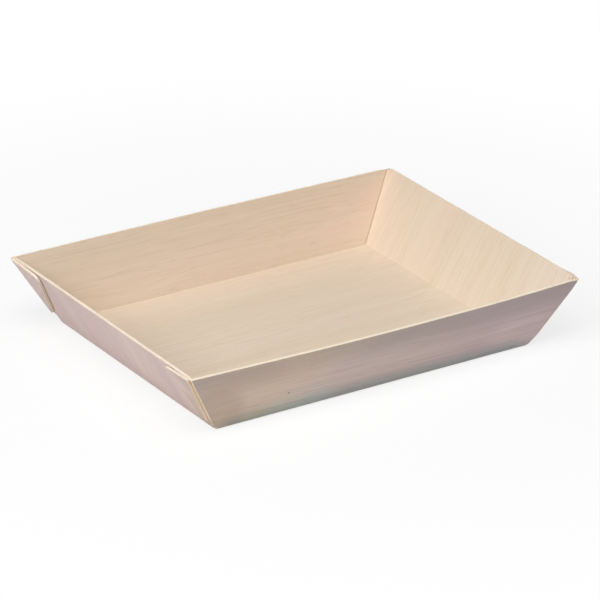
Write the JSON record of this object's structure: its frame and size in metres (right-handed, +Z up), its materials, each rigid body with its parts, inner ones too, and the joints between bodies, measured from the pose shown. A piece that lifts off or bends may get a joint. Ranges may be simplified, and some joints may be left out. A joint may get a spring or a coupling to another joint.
{
  "type": "folded veneer serving tray",
  "caption": "Shallow rectangular serving tray folded from thin light wood veneer, with flared walls and corner flaps glued outside the end walls.",
  "frame": {"origin": "centre of the tray's box on the surface that it stands on", "axes": "+X along the tray's length, +Y along its width, +Z up"},
  "size_m": [0.1906, 0.1398, 0.0305],
  "materials": {
    "inner_veneer": "bare sanded veneer",
    "outer_veneer": "bare sanded veneer",
    "paper_core": "brown kraft paper",
    "glue": "dried wood glue"
  },
  "bodies": {
    "root": {"hinge_core": "paper_core", "base_veneer": "outer_veneer", "front_wall_veneer": "outer_veneer", "back_wall_veneer": "outer_veneer", "left_wall_veneer": "outer_veneer", "right_wall_veneer": "outer_veneer", "front_left_flap_veneer": "outer_veneer", "front_right_flap_veneer": "outer_veneer", "back_left_flap_veneer": "outer_veneer", "back_right_flap_veneer": "outer_veneer", "floor_liner": "inner_veneer", "front_wall_liner": "inner_veneer", "back_wall_liner": "inner_veneer", "left_wall_liner": "inner_veneer", "right_wall_liner": "inner_veneer", "front_left_flap_liner": "inner_veneer", "front_right_flap_liner": "inner_veneer", "back_left_flap_liner": "inner_veneer", "back_right_flap_liner": "inner_veneer", "front_left_glue": "glue", "front_right_glue": "glue", "back_left_glue": "glue", "back_right_glue": "glue"}
  },
  "joints": []
}
